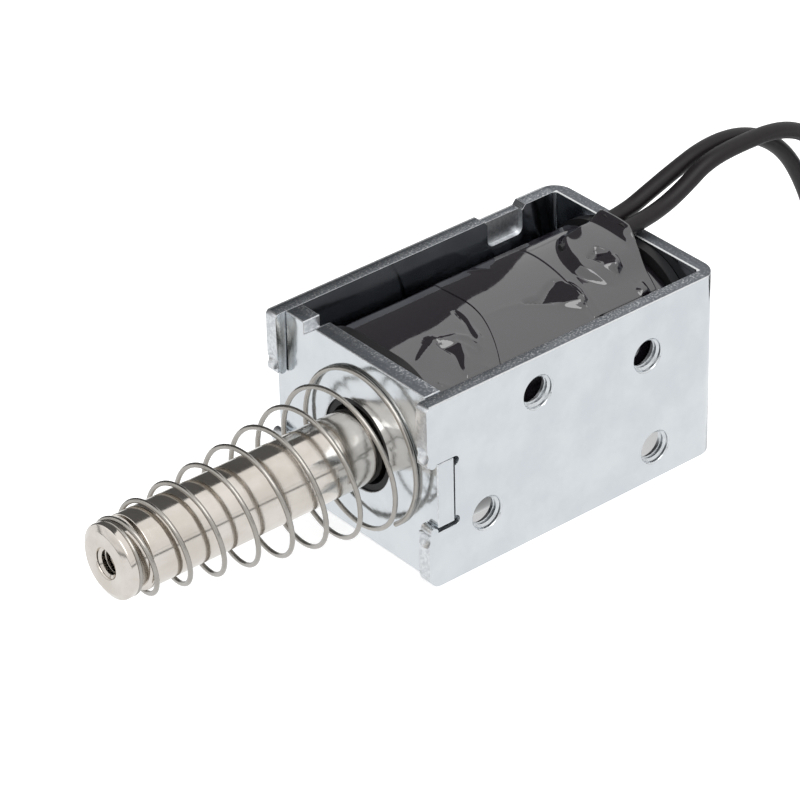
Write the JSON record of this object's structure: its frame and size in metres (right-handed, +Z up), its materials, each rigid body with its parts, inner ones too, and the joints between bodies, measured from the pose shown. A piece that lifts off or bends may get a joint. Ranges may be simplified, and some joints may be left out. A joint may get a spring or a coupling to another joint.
{
  "type": "push pull solenoid",
  "caption": "Open frame push pull solenoid with a spring-returned plunger, a push rod behind, tapped side holes and flying leads.",
  "frame": {"origin": "on the surface that the frame stands on, under the middle of the length from the plunger's tip to the rod's end, leads left out", "axes": "+Y along the plunger, from its tip into the frame; +X out of the wall with the tapped holes; +Z up"},
  "size_m": [0.0366, 0.1189, 0.0255],
  "materials": {
    "zinc_plated_steel": "zinc plated, stamped and sheared",
    "nickel_plated_steel": "nickel plated, turned and polished",
    "spring_steel": "bright drawn wire",
    "rod_steel": "ground",
    "clip_steel": "phosphated",
    "pole_iron": "zinc plated, riveted",
    "bobbin_nylon": "moulded",
    "enamelled_copper": "enamelled winding wire",
    "outer_tape": "glossy insulating tape",
    "shrink_sleeve": "shrunk sleeve",
    "cushion_rubber": "moulded",
    "lead_insulation": "extruded, satin",
    "tie_nylon": "moulded",
    "tinned_copper": "stripped and tinned strands"
  },
  "bodies": {
    "root": {"frame_channel": "zinc_plated_steel", "front_plate": "zinc_plated_steel", "bobbin": "bobbin_nylon", "copper_winding": "enamelled_copper", "outer_tape_front": "outer_tape", "outer_tape_rear": "outer_tape", "lead_cover_tape": "outer_tape", "splice_sleeve_left": "shrink_sleeve", "splice_sleeve_right": "shrink_sleeve", "pole_core": "pole_iron", "return_spring": "spring_steel", "lead_left": "lead_insulation", "lead_right": "lead_insulation", "lead_coil": "lead_insulation", "coil_tie": "tie_nylon", "bare_end_left": "tinned_copper", "bare_end_right": "tinned_copper"},
    "armature": {"plunger": "nickel_plated_steel", "push_rod": "rod_steel", "cushion_washer": "cushion_rubber", "retaining_clip": "clip_steel"}
  },
  "joints": [
    {"name": "plunger_slide", "type": "slide", "parent": "root", "child": "armature", "axis": [0, 1, 0], "range_m": [0, 0.01], "stiffness_N_per_m": 80, "springref_m": -0.01, "deforming": ["return_spring"]}
  ]
}
